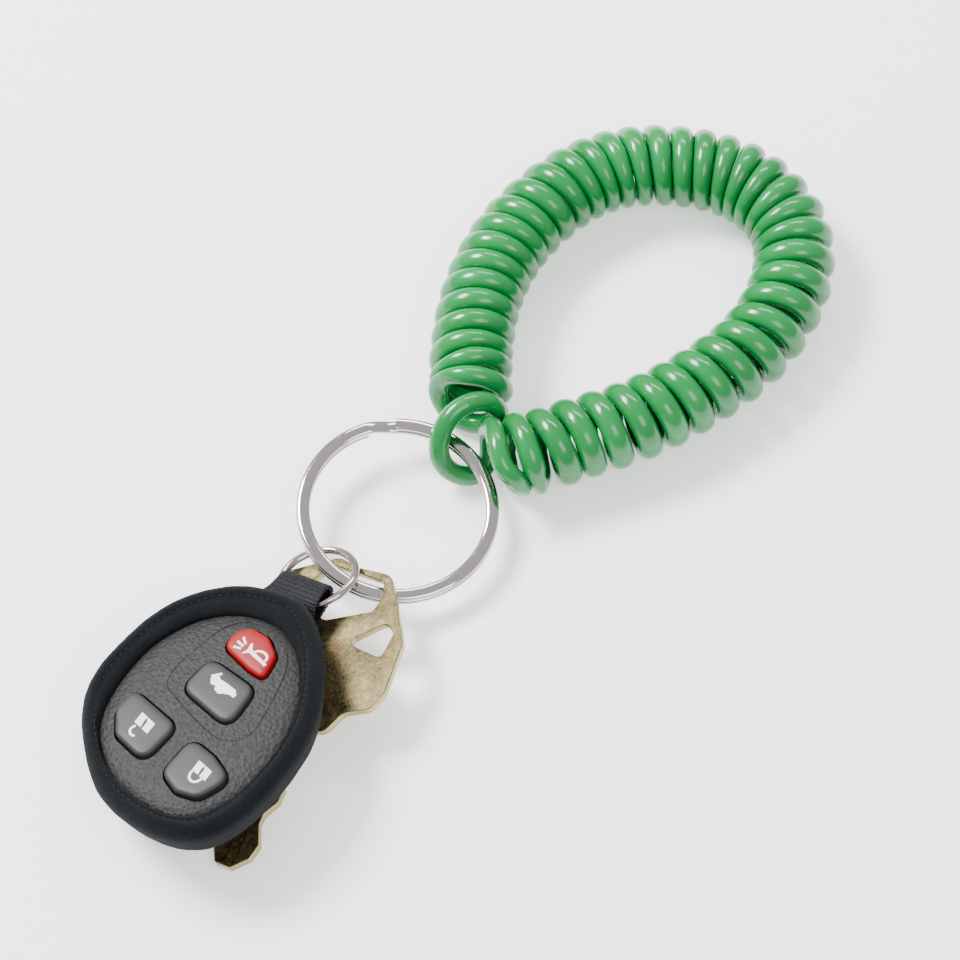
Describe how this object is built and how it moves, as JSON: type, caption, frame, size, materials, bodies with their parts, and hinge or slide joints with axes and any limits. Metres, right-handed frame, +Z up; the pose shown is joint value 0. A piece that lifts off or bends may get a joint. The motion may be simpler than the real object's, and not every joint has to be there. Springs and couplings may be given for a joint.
{
  "type": "coil wristband key holder",
  "caption": "Springy coiled-cord wrist loop carrying a split ring with a cut key and, on a jump ring, a push-button remote in a felt sleeve.",
  "frame": {"origin": "middle of the bounding box's underside, where the part lies on a table", "axes": "+Z up from the table, +Y from the key's tip towards the far end of the coiled loop, +X to the right with the remote on the left"},
  "size_m": [0.1298, 0.1446, 0.0178],
  "materials": {
    "coil_green_cord": "smooth glossy urethane cord",
    "ring_steel": "bright nickel plate",
    "jump_steel": "bright nickel plate",
    "worn_brass": "dull mottled brass, bright on its rubbed edges",
    "navy_felt": "dense matte felt",
    "black_webbing": "ribbed woven webbing",
    "grained_case": "fine leather grain",
    "keypad_rubber": "moulded silicone",
    "board_laminate": "solder-masked laminate",
    "cell_steel": "stainless can",
    "contact_spring": "plated spring strip",
    "button_grey": "satin, printed white",
    "button_red": "satin, printed white"
  },
  "bodies": {
    "coil_end": {"coil_hook_turn": "coil_green_cord"},
    "coil_01": {"coil_turns_01": "coil_green_cord"},
    "coil_02": {"coil_turns_02": "coil_green_cord"},
    "coil_03": {"coil_turns_03": "coil_green_cord"},
    "coil_04": {"coil_turns_04": "coil_green_cord"},
    "coil_05": {"coil_turns_05": "coil_green_cord"},
    "coil_06": {"coil_turns_06": "coil_green_cord"},
    "coil_07": {"coil_turns_07": "coil_green_cord"},
    "coil_08": {"coil_turns_08": "coil_green_cord"},
    "coil_09": {"coil_turns_09": "coil_green_cord"},
    "coil_10": {"coil_turns_10": "coil_green_cord"},
    "split_ring": {"split_ring": "ring_steel"},
    "jump_ring": {"jump_ring": "jump_steel"},
    "key": {"key": "worn_brass"},
    "remote": {"sleeve_binding": "navy_felt", "sleeve_back": "navy_felt", "sleeve_front": "navy_felt", "strap": "black_webbing", "remote_lower_case": "grained_case", "remote_upper_case": "grained_case", "circuit_board": "board_laminate", "keypad_membrane": "keypad_rubber", "coin_cell": "cell_steel", "contact_plus": "contact_spring", "contact_minus": "contact_spring"},
    "panic_button": {"button_panic": "button_red"},
    "trunk_button": {"button_trunk": "button_grey"},
    "unlock_button": {"button_unlock": "button_grey"},
    "lock_button": {"button_lock": "button_grey"}
  },
  "joints": [
    {"name": "coil_stretch_01", "type": "slide", "parent": "coil_end", "child": "coil_01", "axis": [0.0388, 0.9992, 0], "range_m": [0, 0.00238], "stiffness_N_per_m": 60},
    {"name": "coil_stretch_02", "type": "slide", "parent": "coil_01", "child": "coil_02", "axis": [0.1657, 0.9862, 0], "range_m": [0, 0.00444]},
    {"name": "coil_stretch_03", "type": "slide", "parent": "coil_02", "child": "coil_03", "axis": [0.4908, 0.8713, 0], "range_m": [0, 0.00472]},
    {"name": "coil_stretch_04", "type": "slide", "parent": "coil_03", "child": "coil_04", "axis": [0.8016, 0.5978, 0], "range_m": [0, 0.00497]},
    {"name": "coil_stretch_05", "type": "slide", "parent": "coil_04", "child": "coil_05", "axis": [0.9975, 0.0713, 0], "range_m": [0, 0.00496]},
    {"name": "coil_stretch_10", "type": "slide", "parent": "coil_end", "child": "coil_10", "axis": [0.9384, -0.3454, 0], "range_m": [0, 0.00103]},
    {"name": "coil_stretch_09", "type": "slide", "parent": "coil_10", "child": "coil_09", "axis": [0.9379, 0.3468, 0], "range_m": [0, 0.00512]},
    {"name": "coil_stretch_08", "type": "slide", "parent": "coil_09", "child": "coil_08", "axis": [0.825, 0.5652, 0], "range_m": [0, 0.00532]},
    {"name": "coil_stretch_07", "type": "slide", "parent": "coil_08", "child": "coil_07", "axis": [0.513, 0.8584, 0], "range_m": [0, 0.00562]},
    {"name": "coil_stretch_06", "type": "slide", "parent": "coil_07", "child": "coil_06", "axis": [-0.1903, 0.9817, 0], "range_m": [0, 0.00504]},
    {"name": "split_ring_swing", "type": "hinge", "parent": "coil_end", "child": "split_ring", "pos_m": [-0.00281, 0.00654, 0.00666], "axis": [-0.7859, 0.614, 0.0734], "range_deg": [0, 40]},
    {"name": "jump_ring_swing", "type": "hinge", "parent": "split_ring", "child": "jump_ring", "pos_m": [-0.02517, -0.01713, 0.00615], "axis": [0.6595, -0.7478, -0.0762], "range_deg": [-5, 0]},
    {"name": "remote_swing", "type": "hinge", "parent": "jump_ring", "child": "remote", "pos_m": [-0.03004, -0.02447, 0.00734], "axis": [0.7659, -0.5166, 0.3827], "range_deg": [-12, 0]},
    {"name": "key_swing", "type": "hinge", "parent": "split_ring", "child": "key", "pos_m": [-0.02008, -0.021, 0.00568], "axis": [0.8973, -0.4363, -0.0671], "range_deg": [0, 3]},
    {"name": "panic_press", "type": "slide", "parent": "remote", "child": "panic_button", "axis": [0.1653, -0.1115, -0.9799], "range_m": [0, 0.0006], "stiffness_N_per_m": 2500, "springref_m": -0.0002},
    {"name": "trunk_press", "type": "slide", "parent": "remote", "child": "trunk_button", "axis": [0.1653, -0.1115, -0.9799], "range_m": [0, 0.0006], "stiffness_N_per_m": 2500, "springref_m": -0.0002},
    {"name": "unlock_press", "type": "slide", "parent": "remote", "child": "unlock_button", "axis": [0.1653, -0.1115, -0.9799], "range_m": [0, 0.0006], "stiffness_N_per_m": 2500, "springref_m": -0.0002},
    {"name": "lock_press", "type": "slide", "parent": "remote", "child": "lock_button", "axis": [0.1653, -0.1115, -0.9799], "range_m": [0, 0.0006], "stiffness_N_per_m": 2500, "springref_m": -0.0002}
  ],
  "couplings": [
    {"joint": "coil_stretch_02", "follows": "coil_stretch_01", "ratio": 1.8624},
    {"joint": "coil_stretch_03", "follows": "coil_stretch_01", "ratio": 1.9814},
    {"joint": "coil_stretch_04", "follows": "coil_stretch_01", "ratio": 2.0838},
    {"joint": "coil_stretch_05", "follows": "coil_stretch_01", "ratio": 2.08},
    {"joint": "coil_stretch_10", "follows": "coil_stretch_01", "ratio": 0.4292},
    {"joint": "coil_stretch_09", "follows": "coil_stretch_01", "ratio": 2.1476},
    {"joint": "coil_stretch_08", "follows": "coil_stretch_01", "ratio": 2.2315},
    {"joint": "coil_stretch_07", "follows": "coil_stretch_01", "ratio": 2.3571},
    {"joint": "coil_stretch_06", "follows": "coil_stretch_01", "ratio": 2.1139}
  ]
}
